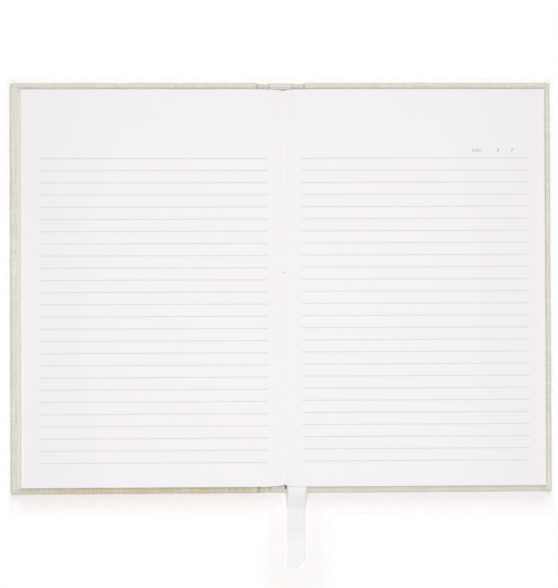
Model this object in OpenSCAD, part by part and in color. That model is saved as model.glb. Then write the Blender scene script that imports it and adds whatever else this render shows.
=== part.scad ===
// Cloth-bound ruled notebook with a ribbon marker, lying open near its middle.
// Millimetres, +Z up. The origin is on the table under the middle of the spine.
// +X runs across the opening towards the back cover, +Y towards the head.

/* [Leaves] */
// Height of the leaves, from head to tail
page_h = 210; // [150:0.5:300]
// Reach of the lowest leaf, from the gutter to its fore-edge
leaf_reach = 139.8; // [110:0.1:220]
// Thickness of the leaves on each side of the opening
stack_t = 6; // [4.5:0.1:12]
// How much further the lowest leaf reaches than the top one
fore_edge_lean = 2.2; // [0:0.1:5]
// How far the open pages dip into the gutter
valley_depth = 3; // [0.5:0.1:3.5]
// Distance over which the pages curve down into the gutter
valley_w = 7; // [3:0.5:12]
// Distance of the gutter from the middle of the spine
gutter_shift = 0.9; // [-1:0.1:1.5]
// Sewn bundles of leaves on each side that show at the edges
section_count = 8; // [2:1:16]
// Width of the groove between two bundles
section_gap = 0.1; // [0.05:0.01:0.2]
// Depth of the groove between two bundles
section_cut = 0.3; // [0.1:0.05:1]

/* [Case] */
// Thickness of the cover boards
board_t = 2.4; // [2:0.1:4]
// How far the boards stand past the leaves at head and tail
square_ends = 3.25; // [1.5:0.05:6]
// How far the boards stand past the leaves at the fore-edge
square_fore = 3.2; // [2:0.05:6]
// Thickness of the card that stiffens the spine
spine_t = 1.5; // [0.8:0.1:2]
// Width of the groove between the spine card and each board
groove_w = 7; // [5:0.5:12]
// Thickness of the cover cloth
cloth_t = 0.45; // [0.2:0.05:0.8]
// Width of the cloth folded over onto the inside of the case
turn_in = 15; // [8:0.5:25]
// Thickness of the endpapers pasted inside the covers
paste_t = 0.2; // [0.1:0.05:0.4]
// Clearance between the leaves and the endpapers under them
leaf_clearance = 0.1; // [0.05:0.05:0.3]
// Gap in the cloth at each cover's hinge line
hinge_gap = 0.1; // [0.05:0.05:0.3]

/* [Spine and sewing] */
// Thickness of the paper lining glued to the back of the leaves
lining_t = 0.3; // [0.2:0.05:0.6]
// Hollow between the lining and the folded cloth inside the spine
hollow_gap = 0.15; // [0.1:0.05:0.5]
// Radius of the bead on the head band and tail band
band_r = 0.7; // [0.4:0.05:1]
// Length of the band's tape along the back of the leaves
band_tape = 7; // [4:0.5:12]
// Radius of the sewing thread
thread_r = 0.2; // [0.1:0.05:0.35]
// Length of one stitch in the gutter
stitch_len = 16; // [8:1:24]
// Distance from one stitch to the next
stitch_pitch = 38; // [28:1:60]
// Clearance where a round piece lies against the leaves
seat_gap = 0.05; // [0.02:0.01:0.1]

/* [Ribbon] */
// Width of the ribbon marker
ribbon_w = 10.2; // [6:0.1:14]
// Thickness of the ribbon
ribbon_t = 0.3; // [0.15:0.05:0.5]
// How far the ribbon shows past the tail of the leaves
ribbon_out = 44; // [30:1:80]
// Distance of the ribbon's near edge from the gutter
ribbon_inset = 1.85; // [0.5:0.05:5]
// Height of the ribbon above the tail band that it passes over
ribbon_lift = 0.35; // [0.25:0.05:0.8]
// Distance past the case over which the ribbon sinks to the table
ribbon_fall = 9; // [6:0.5:14]
// Distance of the ribbon's held end from the head of the leaves
ribbon_anchor = 12; // [5:1:40]
// Width of the corner cut off the ribbon's loose end
trim_w = 4.4; // [1:0.1:6]
// Length of the corner cut off the ribbon's loose end
trim_l = 4; // [1:0.1:8]
// Clearance around the ribbon between the leaves
slot_gap = 0.05; // [0.03:0.01:0.2]

/* [Ruling] */
// Distance between two ruled lines
rule_pitch = 6.4; // [5:0.1:9]
// Distance from the head of the page to the first line
rule_head = 37; // [20:0.5:60]
// Least distance from the last line to the tail of the page
rule_tail = 12; // [5:0.5:30]
// Width of a ruled line
rule_w = 0.3; // [0.15:0.05:0.6]
// Thickness of the printed ink
ink_t = 0.05; // [0.03:0.01:0.1]
// Distance from the gutter to the lines on the left page
left_inner = 8.2; // [5:0.1:25]
// Distance from the lines to the left page's outer edge
left_outer = 9.2; // [5:0.1:25]
// Distance from the gutter to the lines on the right page
right_inner = 9.7; // [5:0.1:25]
// Distance from the lines to the right page's outer edge
right_outer = 7.1; // [5:0.1:25]

/* [Date field] */
// Distance of the field's first mark from the outer end of the lines
field_back = 30.8; // [20:0.1:60]
// Width of the label mark that opens the field
label_w = 5.4; // [3:0.1:10]
// Distance from the start of the field to its first slash
field_slash = 14.1; // [11:0.1:18]
// Distance between the two slashes
slash_pitch = 7.4; // [4:0.1:10]
// Height of the slashes
slash_h = 1.9; // [1:0.1:3]
// Height of the field above the first ruled line
field_rise = 3.6; // [2:0.1:6]
// Width of a pen stroke in the field
stroke_w = 0.25; // [0.15:0.05:0.5]

/* [Hidden] */

// Colours
paper_white = [0.95, 0.95, 0.96];
endpaper_white = [0.93, 0.93, 0.91];
linen = [0.83, 0.81, 0.74];
greyboard = [0.62, 0.60, 0.56];
kraft = [0.76, 0.69, 0.56];
thread_white = [0.97, 0.97, 0.95];
band_cream = [0.90, 0.88, 0.82];
ribbon_white = [0.93, 0.94, 0.95];
rule_grey = [0.86, 0.85, 0.88];
mark_grey = [0.62, 0.62, 0.64];

// The case, measured outward from the middle of the spine
spine_half = stack_t;
hinge_x = spine_half + groove_w / 2;
cover_in = hinge_x + hinge_gap;
board_in = spine_half + groove_w;
board_out = leaf_reach + square_fore;
cover_out = board_out + cloth_t;
board_h = page_h + 2 * square_ends;
cover_h = board_h + 2 * cloth_t;
fold_y = cover_h / 2 - turn_in;
fold_x = cover_out - turn_in;

// Heights above the table
board_top = cloth_t + board_t;
spine_top = cloth_t + spine_t;
block_z = board_top + cloth_t + paste_t + leaf_clearance;
lining_z = spine_top + cloth_t + hollow_gap;
back_z = lining_z + lining_t;
page_z = block_z + stack_t;
above_all = page_z + 5;

// Upper face of the open pages: distance from the gutter, height
top_reach = leaf_reach - fore_edge_lean;
profile_steps = 12;
profile_bunching = 2.2;
page_face = [
    for (i = [0:profile_steps])
        let (u = top_reach * pow(i / profile_steps, profile_bunching))
        [u, page_z - valley_depth * exp(-u / valley_w)]
];
function page_top(u) = lookup(u, page_face);

// Ruled lines and stitches that fit the page
rule_count = floor((page_h - rule_head - rule_tail) / rule_pitch) + 1;
first_rule_y = page_h / 2 - rule_head;
stitch_margin = 12;
stitch_side = floor((page_h / 2 - stitch_margin - stitch_len / 2) / stitch_pitch);
gutter_lean = atan2(page_face[1][1] - page_face[0][1], page_face[1][0]);
thread_z = page_face[0][1] + (thread_r + seat_gap) / cos(gutter_lean);
thread_fn = 24;

// Bands and ribbon
bead_y = page_h / 2 + seat_gap + band_r;
bead_z = lining_z + band_r;
bead_top = bead_z + band_r;
bead_fn = 32;
ribbon_z = max(block_z, bead_top) + ribbon_lift + ribbon_t / 2;
ribbon_x = gutter_shift + ribbon_inset;
ribbon_held_y = page_h / 2 - ribbon_anchor;
ribbon_end_y = -page_h / 2 - ribbon_out;
fall_from_y = -bead_y - band_r;
fall_to_y = -cover_h / 2 - ribbon_fall;
fall_steps = 12;

// Date field
slash_slant = 0.35;
label_ticks = 4;
short_tick = 0.6;
label_h = slash_h * 0.9;

function reversed(points) = [for (i = [len(points) - 1:-1:0]) points[i]];
function mirrored(points) = [for (p = reversed(points)) [-p[0], p[1]]];
function moved(points, x, z) = [for (p = points) [p[0] + x, p[1] + z]];
function box_points(x0, x1, z0, z1) = [[x0, z0], [x1, z0], [x1, z1], [x0, z1]];

// Extrudes a section drawn in X and Z along Y
module along_y(length, at = 0) {
    translate([0, at, 0]) rotate([90, 0, 0]) linear_extrude(length, center = true) children();
}

// Extrudes a section drawn in Y and Z along X
module along_x(from, width) {
    translate([from, 0, 0]) rotate([90, 0, 90]) linear_extrude(width) children();
}

// Text block: both open stacks of leaves, joined by their folds at the gutter

// Face of the pages from fore-edge to fore-edge, with the gutter at x = 0
function whole_face(points) = concat(mirrored([for (i = [1:len(points) - 1]) points[i]]), points);

module block_section() {
    polygon(concat(
        moved(reversed(whole_face(page_face)), gutter_shift, 0),
        [
            [gutter_shift - leaf_reach, block_z],
            [-spine_half, block_z],
            [-spine_half, back_z],
            [spine_half, back_z],
            [spine_half, block_z],
            [gutter_shift + leaf_reach, block_z]
        ]
    ));
}

// Groove between two bundles of leaves, at a share of the stack's height
module section_groove(share) {
    reach = leaf_reach - share * fore_edge_lean;
    outside = leaf_reach + 1;
    fold_line = [for (p = page_face) [p[0], block_z + share * (p[1] - block_z)]];
    line = whole_face(concat(fold_line, [[outside, block_z + share * stack_t]]));
    difference() {
        along_y(page_h + 2)
            polygon(concat(
                moved(line, gutter_shift, -section_gap / 2),
                moved(reversed(line), gutter_shift, section_gap / 2)
            ));
        translate([gutter_shift, 0, above_all / 2])
            cube([2 * (reach - section_cut), page_h - 2 * section_cut, above_all], center = true);
    }
}

module ribbon_slot() {
    depth = ribbon_t + 2 * slot_gap;
    translate([ribbon_x - slot_gap, -page_h / 2 - 1, ribbon_z - depth / 2])
        cube([ribbon_w + 2 * slot_gap, ribbon_held_y + slot_gap + page_h / 2 + 1, depth]);
}

module text_block() {
    color(paper_white)
        difference() {
            along_y(page_h) block_section();
            for (k = [1:section_count - 1]) section_groove(k / section_count);
            ribbon_slot();
        }
}

// Print on the open pages, lying on their curved face

// Page face between two distances from the gutter
function face_part(u0, u1) = concat(
    [[u0, page_top(u0)]],
    [for (p = page_face) if (p[0] > u0 && p[0] < u1) p],
    [[u1, page_top(u1)]]
);

module ruled_lines(side, u0, u1) {
    strip = face_part(u0, u1);
    translate([gutter_shift, 0, 0])
        mirror([side < 0 ? 1 : 0, 0, 0])
            for (k = [0:rule_count - 1])
                along_y(rule_w, first_rule_y - k * rule_pitch)
                    polygon(concat(strip, moved(reversed(strip), 0, ink_t)));
}

module ruled_lines_left() {
    color(rule_grey) ruled_lines(-1, left_inner, top_reach - left_outer);
}

module ruled_lines_right() {
    color(rule_grey) ruled_lines(1, right_inner, top_reach - right_outer);
}

// One slanted pen stroke on the right page, its foot u from the gutter
module stroke(u, height) {
    slant = slash_slant * height;
    translate([gutter_shift + u, first_rule_y + field_rise, page_top(u)])
        linear_extrude(ink_t)
            polygon([[0, 0], [stroke_w, 0], [stroke_w + slant, height], [slant, height]]);
}

module date_marks() {
    start = top_reach - right_outer - field_back;
    tick_pitch = (label_w - stroke_w) / label_ticks;
    color(mark_grey) {
        for (k = [0:label_ticks - 1])
            stroke(start + k * tick_pitch, k % 2 == 0 ? label_h : label_h * short_tick);
        for (k = [0:1]) stroke(start + field_slash + k * slash_pitch, slash_h);
    }
}

// Stitches of the middle bundle, lying in the fold of the gutter
module sewing_thread() {
    color(thread_white)
        for (k = [-stitch_side:stitch_side])
            translate([gutter_shift, k * stitch_pitch, thread_z])
                rotate([90, 0, 0]) cylinder(r = thread_r, h = stitch_len, center = true, $fn = thread_fn);
}

// Spine of the leaves: a beaded band at each end and a paper lining between them

module band() {
    tape_y = page_h / 2 - band_tape;
    color(band_cream) {
        translate([0, bead_y, bead_z])
            rotate([0, 90, 0]) cylinder(r = band_r, h = 2 * spine_half, center = true, $fn = bead_fn);
        translate([-spine_half, tape_y, lining_z])
            cube([2 * spine_half, bead_y - tape_y, lining_t]);
    }
}

module head_band() {
    band();
}

module tail_band() {
    mirror([0, 1, 0]) band();
}

module spine_lining() {
    color(kraft)
        along_y(page_h - 2 * (band_tape + seat_gap))
            polygon(box_points(-spine_half, spine_half, lining_z, back_z));
}

// Ribbon marker: held in the leaves near the head, out at the tail, down to the table

// Middle line of the ribbon, from its held end to its loose end: y, height
function ribbon_line() = concat(
    [[ribbon_held_y, ribbon_z]],
    [
        for (i = [0:fall_steps])
            let (s = i / fall_steps, low = ribbon_t / 2)
            [
                fall_from_y + s * (fall_to_y - fall_from_y),
                low + (ribbon_z - low) * (1 + cos(180 * s)) / 2
            ]
    ],
    [[ribbon_end_y, ribbon_t / 2]]
);

module ribbon_marker() {
    line = ribbon_line();
    far_x = ribbon_x + ribbon_w;
    color(ribbon_white)
        intersection() {
            along_x(ribbon_x, ribbon_w)
                polygon(concat(moved(line, 0, -ribbon_t / 2), moved(reversed(line), 0, ribbon_t / 2)));
            linear_extrude(above_all)
                polygon([
                    [ribbon_x, ribbon_held_y],
                    [far_x, ribbon_held_y],
                    [far_x, ribbon_end_y + trim_l],
                    [far_x - trim_w, ribbon_end_y],
                    [ribbon_x, ribbon_end_y]
                ]);
        }
}

// Spine of the case

module spine_board() {
    color(greyboard)
        along_y(board_h) polygon(box_points(-spine_half, spine_half, cloth_t, spine_top));
}

module spine_cloth() {
    shoulder = spine_half + cloth_t;
    half_section = [
        [hinge_x, 0],
        [hinge_x, 2 * cloth_t],
        [shoulder, 2 * cloth_t],
        [shoulder, spine_top + cloth_t]
    ];
    bare = [
        [hinge_x + 1, cloth_t],
        [spine_half, cloth_t],
        [spine_half, spine_top],
    ];
    color(linen)
        difference() {
            along_y(cover_h) polygon(concat(half_section, mirrored(half_section)));
            along_y(board_h) polygon(box_points(-spine_half, spine_half, cloth_t, spine_top));
            along_y(2 * fold_y)
                polygon(concat(
                    bare,
                    mirrored(bare),
                    [[-hinge_x - 1, above_all], [hinge_x + 1, above_all]]
                ));
        }
}

// Covers, drawn on the +X side and mirrored for the front

module board() {
    color(greyboard)
        along_y(board_h) polygon(box_points(board_in, board_out, cloth_t, board_top));
}

// Cloth round the board and over half the groove, folded in on three sides
module cover_cloth() {
    case_top = board_top + cloth_t;
    color(linen)
        difference() {
            along_y(cover_h)
                polygon([
                    [cover_in, 0],
                    [cover_out, 0],
                    [cover_out, case_top],
                    [board_in - cloth_t, case_top],
                    [board_in - cloth_t, 2 * cloth_t],
                    [cover_in, 2 * cloth_t]
                ]);
            along_y(board_h) polygon(box_points(board_in, board_out, cloth_t, board_top));
            along_y(2 * fold_y)
                polygon([
                    [cover_in - 1, cloth_t],
                    [board_in, cloth_t],
                    [board_in, board_top],
                    [fold_x, board_top],
                    [fold_x, above_all],
                    [cover_in - 1, above_all]
                ]);
        }
}

// Endpaper pasted over the board and the folded cloth, stepping up onto the fold
module pastedown() {
    case_top = board_top + cloth_t;
    wrapped_in = board_in - cloth_t;
    on_board = [
        [cover_in, cloth_t],
        [board_in, cloth_t],
        [board_in, board_top],
        [fold_x, board_top],
        [fold_x, case_top],
        [leaf_reach, case_top]
    ];
    over_board = [
        [cover_in, cloth_t + paste_t],
        [board_in - paste_t, cloth_t + paste_t],
        [board_in - paste_t, board_top + paste_t],
        [fold_x - paste_t, board_top + paste_t],
        [fold_x - paste_t, case_top + paste_t],
        [leaf_reach, case_top + paste_t]
    ];
    on_fold = [
        [cover_in, 2 * cloth_t],
        [wrapped_in, 2 * cloth_t],
        [wrapped_in, case_top],
        [leaf_reach, case_top]
    ];
    over_fold = [
        [cover_in, 2 * cloth_t + paste_t],
        [wrapped_in - paste_t, 2 * cloth_t + paste_t],
        [wrapped_in - paste_t, case_top + paste_t],
        [leaf_reach, case_top + paste_t]
    ];
    end_length = page_h / 2 - fold_y;
    color(endpaper_white) {
        along_y(2 * fold_y) polygon(concat(on_board, reversed(over_board)));
        for (end = [-1, 1]) {
            along_y(paste_t, end * (fold_y - paste_t / 2)) polygon(concat(on_board, reversed(over_fold)));
            along_y(end_length, end * (fold_y + end_length / 2)) polygon(concat(on_fold, reversed(over_fold)));
        }
    }
}

module front_board() {
    mirror([1, 0, 0]) board();
}

module front_cover_cloth() {
    mirror([1, 0, 0]) cover_cloth();
}

module front_pastedown() {
    mirror([1, 0, 0]) pastedown();
}

module back_board() {
    board();
}

module back_cover_cloth() {
    cover_cloth();
}

module back_pastedown() {
    pastedown();
}

text_block();
ruled_lines_left();
ruled_lines_right();
date_marks();
sewing_thread();
head_band();
tail_band();
spine_lining();
ribbon_marker();
spine_board();
spine_cloth();
front_board();
front_cover_cloth();
front_pastedown();
back_board();
back_cover_cloth();
back_pastedown();
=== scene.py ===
"""An open cloth-bound notebook with ruled leaves and a ribbon marker, dressed around its CAD frame.

Shapes are written in millimetres and become metres where a mesh is made. Materials and lamps are in metres.
The frame's axes are used throughout: +X across the opening, +Y towards the head of the pages and +Z up, with
the origin on the table under the middle of the spine. A side is -1 for the front half, left of the gutter,
and 1 for the back half.
"""

import math

import bpy
from mathutils import Euler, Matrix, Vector


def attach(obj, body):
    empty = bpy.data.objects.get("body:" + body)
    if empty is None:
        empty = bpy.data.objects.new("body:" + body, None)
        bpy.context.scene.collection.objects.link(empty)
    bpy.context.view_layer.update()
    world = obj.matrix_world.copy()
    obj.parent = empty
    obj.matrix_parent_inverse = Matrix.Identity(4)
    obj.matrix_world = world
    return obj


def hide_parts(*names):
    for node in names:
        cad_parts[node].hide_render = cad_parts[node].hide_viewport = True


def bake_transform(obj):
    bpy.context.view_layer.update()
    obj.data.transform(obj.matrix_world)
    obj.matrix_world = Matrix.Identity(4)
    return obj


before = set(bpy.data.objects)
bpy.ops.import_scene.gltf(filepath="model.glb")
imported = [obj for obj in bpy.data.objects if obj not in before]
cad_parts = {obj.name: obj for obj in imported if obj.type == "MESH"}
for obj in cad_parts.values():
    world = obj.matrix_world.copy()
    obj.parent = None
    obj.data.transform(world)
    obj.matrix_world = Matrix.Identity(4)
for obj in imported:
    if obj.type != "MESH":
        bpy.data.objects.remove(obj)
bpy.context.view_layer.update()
scene = bpy.context.scene
MM = 0.001

# Faces that meet at more degrees than this keep their edge; a strand's side faces meet at less.
CREASE = 65.0

# Leaves

PAGE_H = 210.0
GUTTER_X = 0.9
STACK_Z = 3.6
STACK_T = 6.0
PAGE_TOP = STACK_Z + STACK_T  # away from the gutter
VALLEY_DEPTH = 3.0
VALLEY_W = 7.0
LEAF_REACH = 139.8
LEAN_LEFT = 2.2
LEAN_RIGHT = 1.3
LEAVES = 48
SECTION_LEAVES = 6
FOLD_Z = 3.3

# Share of each leaf's height that is left as a gap under it.
LEAF_AIR = 0.12

# Ruling and date field

RULE_COUNT = 26
FIRST_RULE_Y = 68.45
PITCH_LEFT = 6.423
PITCH_RIGHT = 6.4
RULE_W = 0.6
INK_LIFT = 0.008
INK_T = 0.03
DATE_OVER_RULE = 3.4
DATE_TICKS_U = 100.2
DATE_TICK_PITCH = 0.72
DATE_SLASHES_U = (113.8, 121.2)

# Case

CLOTH_T = 0.28
SPINE_HALF = 6.0
BOARD_IN = 13.0
COVER_OUT = 143.45
COVER_HALF_H = 108.7
CORNER_R = 1.3
LEAST_R = 0.05
CASE_TOP = 3.3
SPINE_TOP = 2.4
GROOVE_TOP = 0.9
TURN_IN = 15.0
THREAD_PITCH = 0.47

# Endpapers

PASTE_T = 0.2
PASTE_GROOVE_Z = 0.45
PASTE_BOARD_RISE = 2.4
PASTE_FOLD_RISE = 0.45
PASTE_END_Y = 105.0

# Where they climb over the raw edge of the turned-in cloth.
FOLD_STEP_Y = (93.0, 94.6)
FOLD_STEP_X = (127.6, 129.2)

# Head and tail bands

BAND_L = 11.9
WINDING_R = 0.64
CORE_R = 0.6
BAND_Y = 106.0
BAND_Z = 3.25
TAPE_Y = 101.7
TAPE_H = 7.2
TAPE_Z = 2.7
TAPE_T = 0.24

# Stitches in the gutter

STITCHES = 5
STITCH_PITCH = 38.0
STITCH_L = 16.0
STITCH_Z = 6.83
TWIST_L = 15.6

# Ribbon

RIBBON_W = 10.2
RIBBON_T = 0.2
RIBBON_X = 2.75

# Share of the leaves' height that lies under the ribbon.
RIBBON_SHARE = 0.19

# Its height where it leaves the leaves and where it lies on the table, and its fall between them.
RIBBON_OUT_Z = 4.47
RIBBON_LOW_Z = 0.22
FALL_FROM_Y = -106.6
FALL_TO_Y = -117.7

# Its loose end, with the corner that is cut off.
RIBBON_END_Y = -149.0
TRIM_FROM_Y = -138.0
TRIM_W = 4.4
TRIM_H = 4.0

WHITE = (1.0, 1.0, 1.0, 1.0)


# Node trees


def maths(operation, swapped=False):
    """A method that adds a Math node for a wire and other values; swapped puts the wire last."""

    def method(self, *others):
        values = (self, *others)
        return self.graph.math(operation, *(values[::-1] if swapped else values))

    return method


class Wire:
    """A node's output. Arithmetic on it adds Math nodes to the same tree."""

    __add__ = __radd__ = maths("ADD")
    __sub__ = maths("SUBTRACT")
    __rsub__ = maths("SUBTRACT", swapped=True)
    __mul__ = __rmul__ = maths("MULTIPLY")
    __truediv__ = maths("DIVIDE")
    __rtruediv__ = maths("DIVIDE", swapped=True)
    __pow__ = maths("POWER")
    __abs__ = maths("ABSOLUTE")
    sin = maths("SINE")
    exp = maths("EXPONENT")
    floor = maths("FLOOR")
    fract = maths("FRACT")
    least = maths("MINIMUM")
    most = maths("MAXIMUM")
    above = maths("GREATER_THAN")
    below = maths("LESS_THAN")

    def __init__(self, graph, socket):
        self.graph = graph
        self.socket = socket

    def __neg__(self):
        return self * -1.0

    def of(self, name):
        """Another output of the same node."""
        return Wire(self.graph, pick(self.socket.node.outputs, name))

    def ramp(self, low, high):
        """0 below low, 1 above high and smooth between them."""
        return self.graph.node(
            "ShaderNodeMapRange",
            {"interpolation_type": "SMOOTHSTEP"},
            {"Value": self, "From Min": low, "From Max": high, "To Min": 0.0, "To Max": 1.0},
        )


def pick(sockets, key):
    """The socket at a number, or the first enabled one with that identifier or name."""
    if isinstance(key, int):
        return sockets[key]
    enabled = [s for s in sockets if s.enabled]
    for socket in enabled:
        if socket.identifier == key:
            return socket
    return next(s for s in enabled if s.name == key)


class Graph:
    """A node tree that is being written."""

    def __init__(self, tree):
        self.tree = tree

    def node(self, kind, settings=None, inputs=None, output=0):
        """Adds a node: settings first, then the values and links of its sockets."""
        made = self.tree.nodes.new(kind)
        for name, value in (settings or {}).items():
            setattr(made, name, value)
        for key, value in (inputs or {}).items():
            socket = pick(made.inputs, key)
            if isinstance(value, Wire):
                self.tree.links.new(value.socket, socket)
            else:
                socket.default_value = value
        return Wire(self, pick(made.outputs, output)) if made.outputs else made

    def math(self, operation, *values):
        return self.node("ShaderNodeMath", {"operation": operation}, dict(enumerate(values)))

    def vector(self, x, y, z):
        return self.node("ShaderNodeCombineXYZ", None, {"X": x, "Y": y, "Z": z})

    def axes(self, vector):
        """A vector's three parts."""
        split = self.node("ShaderNodeSeparateXYZ", None, {"Vector": vector})
        return split, split.of("Y"), split.of("Z")


class Finish(Graph):
    """A material that is being written. Its sockets are those of the Principled shader."""

    def __init__(self, name):
        self.material = bpy.data.materials.new(name)
        self.material.use_nodes = True
        super().__init__(self.material.node_tree)
        self.tree.nodes.clear()

    def place(self):
        """The point on the object, in metres in the frame."""
        return self.node("ShaderNodeTexCoord", None, None, "Object")

    def woven(self, map_name):
        """The two parts of the flat cloth's own map: across and along it."""
        return self.axes(self.node("ShaderNodeUVMap", {"uv_map": map_name}, None, "UV"))[:2]

    def worn(self, name):
        """A value that the mesh holds at each point."""
        return self.node("ShaderNodeAttribute", {"attribute_name": name}, None, "Fac")

    def noise(self, vector, scale, detail=2.0, roughness=0.5):
        """Soft noise around 0.5."""
        return self.node(
            "ShaderNodeTexNoise",
            {"noise_dimensions": "3D"},
            {"Vector": vector, "Scale": scale, "Detail": detail, "Roughness": roughness},
        )

    def mix(self, share, first, second, blend="MIX"):
        """A colour between two, by share. With MULTIPLY, the second one is a tint on the first."""
        return self.node(
            "ShaderNodeMix",
            {"data_type": "RGBA", "blend_type": blend, "clamp_factor": True},
            {"Factor_Float": share, "A_Color": first, "B_Color": second},
            "Result_Color",
        )

    def shade(self, colour, amount):
        """A colour times a number."""
        inputs = {"Vector": colour, "Scale": amount}
        return self.node("ShaderNodeVectorMath", {"operation": "SCALE"}, inputs, "Vector")

    def bump(self, height, distance, strength=1.0):
        inputs = {"Height": height, "Distance": distance, "Strength": strength}
        return self.node("ShaderNodeBump", None, inputs)

    def surface(self, **sockets):
        """Ends the material in one Principled shader."""
        named = {name.replace("_", " "): value for name, value in sockets.items()}
        shader = self.node("ShaderNodeBsdfPrincipled", None, named)
        self.node("ShaderNodeOutputMaterial", None, {"Surface": shader})
        return self.material


class Growth(Graph):
    """A Geometry Nodes tree with named sizes that makes one plain mesh."""

    def __init__(self, name):
        super().__init__(bpy.data.node_groups.new(name, "GeometryNodeTree"))
        sockets = self.tree.interface
        sockets.new_socket(name="Shape", in_out="OUTPUT", socket_type="NodeSocketGeometry")
        self.entry = self.tree.nodes.new("NodeGroupInput")

    def size(self, name, kind="Float"):
        """A named input of the tree."""
        self.tree.interface.new_socket(name=name, in_out="INPUT", socket_type="NodeSocket" + kind)
        return Wire(self, self.entry.outputs[name])

    def place(self):
        """The three parts of each point's place."""
        return self.axes(self.node("GeometryNodeInputPosition"))

    def plate(self, columns, rows):
        """A closed plate of one unit each way, with so many points across and along."""
        return self.node(
            "GeometryNodeMeshCube",
            None,
            {"Size": (1.0, 1.0, 1.0), "Vertices X": columns, "Vertices Y": rows, "Vertices Z": 2},
            "Mesh",
        )

    def rod(self, sides, segments, radius, length):
        """A closed rod that stands along Z."""
        return self.node(
            "GeometryNodeMeshCylinder",
            {"fill_type": "NGON"},
            {"Vertices": sides, "Side Segments": segments, "Radius": radius, "Depth": length},
            "Mesh",
        )

    def spiral(self, steps, turns, radius, height):
        """A line that winds up round Z, with so many steps to a turn."""
        sizes = {"Resolution": steps, "Rotations": turns, "Height": height}
        radii = {"Start Radius": radius, "End Radius": radius}
        return self.node("GeometryNodeCurveSpiral", None, {**sizes, **radii})

    def strand(self, line, sides, radius):
        """A closed round strand along a line."""
        sizes = {"Resolution": sides, "Radius": radius}
        ring = self.node("GeometryNodeCurvePrimitiveCircle", {"mode": "RADIUS"}, sizes)
        inputs = {"Curve": line, "Profile Curve": ring, "Fill Caps": True}
        return self.node("GeometryNodeCurveToMesh", None, inputs)

    def joined(self, *shapes):
        """Several shapes as one."""
        whole = self.node("GeometryNodeJoinGeometry")
        for shape in shapes:
            self.tree.links.new(shape.socket, whole.socket.node.inputs[0])
        return whole

    def transformed(self, shape, **how):
        """A shape that is shifted by Translation, turned by Rotation or stretched by Scale."""
        return self.node("GeometryNodeTransform", None, {"Geometry": shape, **how})

    def turned(self, shape):
        """A shape with its faces turned the other way."""
        return self.node("GeometryNodeFlipFaces", None, {"Mesh": shape})

    def faced(self, shape, side):
        """A shape that was mirrored where side is negative, with its faces outwards either way."""
        return self.node(
            "GeometryNodeSwitch",
            {"input_type": "GEOMETRY"},
            {"Switch": side.below(0.0), "False": shape, "True": self.turned(shape)},
        )

    def smooth(self, shape, chosen=True, on=True):
        inputs = {"Geometry": shape, "Selection": chosen, "Shade Smooth": on}
        return self.node("GeometryNodeSetShadeSmooth", {"domain": "FACE"}, inputs)

    def marked(self, shape, name, value, kind, domain):
        """A shape whose points or faces hold a value by name."""
        return self.node(
            "GeometryNodeStoreNamedAttribute",
            {"data_type": kind, "domain": domain},
            {"Geometry": shape, "Name": name, "Value": value},
        )

    def held(self, name, kind):
        """The value that each point or face holds by name."""
        return self.node("GeometryNodeInputNamedAttribute", {"data_type": kind}, {"Name": name})

    def number(self, low, high, key, seed):
        """A random number for each key."""
        return self.node(
            "FunctionNodeRandomValue",
            {"data_type": "FLOAT"},
            {"Min": low, "Max": high, "ID": key, "Seed": seed},
            "Value",
        )

    def repeat(self, shape, count, label):
        """Copies of a shape in one place, each of whose points holds its copy's number."""
        points = self.node("GeometryNodePoints", None, {"Count": count})
        points = self.marked(points, label, self.node("GeometryNodeInputIndex"), "INT", "POINT")
        inputs = {"Points": points, "Instance": shape}
        copies = self.node("GeometryNodeInstanceOnPoints", None, inputs)
        loose = self.node("GeometryNodeRealizeInstances", None, {"Geometry": copies})
        return loose, self.held(label, "INT")

    def moved(self, shape, x, y, z):
        """A shape whose points are put at x, y, z, in millimetres."""
        spot = self.vector(x * MM, y * MM, z * MM)
        return self.node("GeometryNodeSetPosition", None, {"Geometry": shape, "Position": spot})

    def painted(self, shape, material, chosen=True):
        inputs = {"Geometry": shape, "Selection": chosen, "Material": material}
        return self.node("GeometryNodeSetMaterial", None, inputs)

    def finish(self, shape, material, rim_material=None):
        """Ends the tree with real copies and their material; faces marked rim may have their own."""
        shape = self.node("GeometryNodeRealizeInstances", None, {"Geometry": shape})
        shape = self.painted(shape, material)
        if rim_material is not None:
            shape = self.painted(shape, rim_material, self.held("rim", "BOOLEAN"))
        self.node("NodeGroupOutput", None, {"Shape": shape})

    def grow(self, name, **sizes):
        """Runs the tree once with these sizes and keeps its result as a plain mesh."""
        piece = bpy.data.objects.new(name, bpy.data.meshes.new(name))
        scene.collection.objects.link(piece)
        modifier = piece.modifiers.new("growth", "NODES")
        modifier.node_group = self.tree
        identifiers = {
            item.name: item.identifier
            for item in self.tree.interface.items_tree
            if item.in_out == "INPUT"
        }
        for title, value in sizes.items():
            modifier[identifiers[title]] = value
        bake_modifiers(piece)
        return piece


def bake_modifiers(piece):
    """Replaces a piece's mesh with what its modifiers make of it, and removes them."""
    bpy.context.view_layer.update()
    depsgraph = bpy.context.evaluated_depsgraph_get()
    final = bpy.data.meshes.new_from_object(
        piece.evaluated_get(depsgraph), preserve_all_data_layers=True, depsgraph=depsgraph
    )
    piece.modifiers.clear()
    piece.data = final
    final.name = piece.name
    for k in reversed(range(len(final.materials))):
        if final.materials[k] is None:
            final.materials.pop(index=k)
    final.set_sharp_from_angle(angle=math.radians(CREASE))


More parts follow.
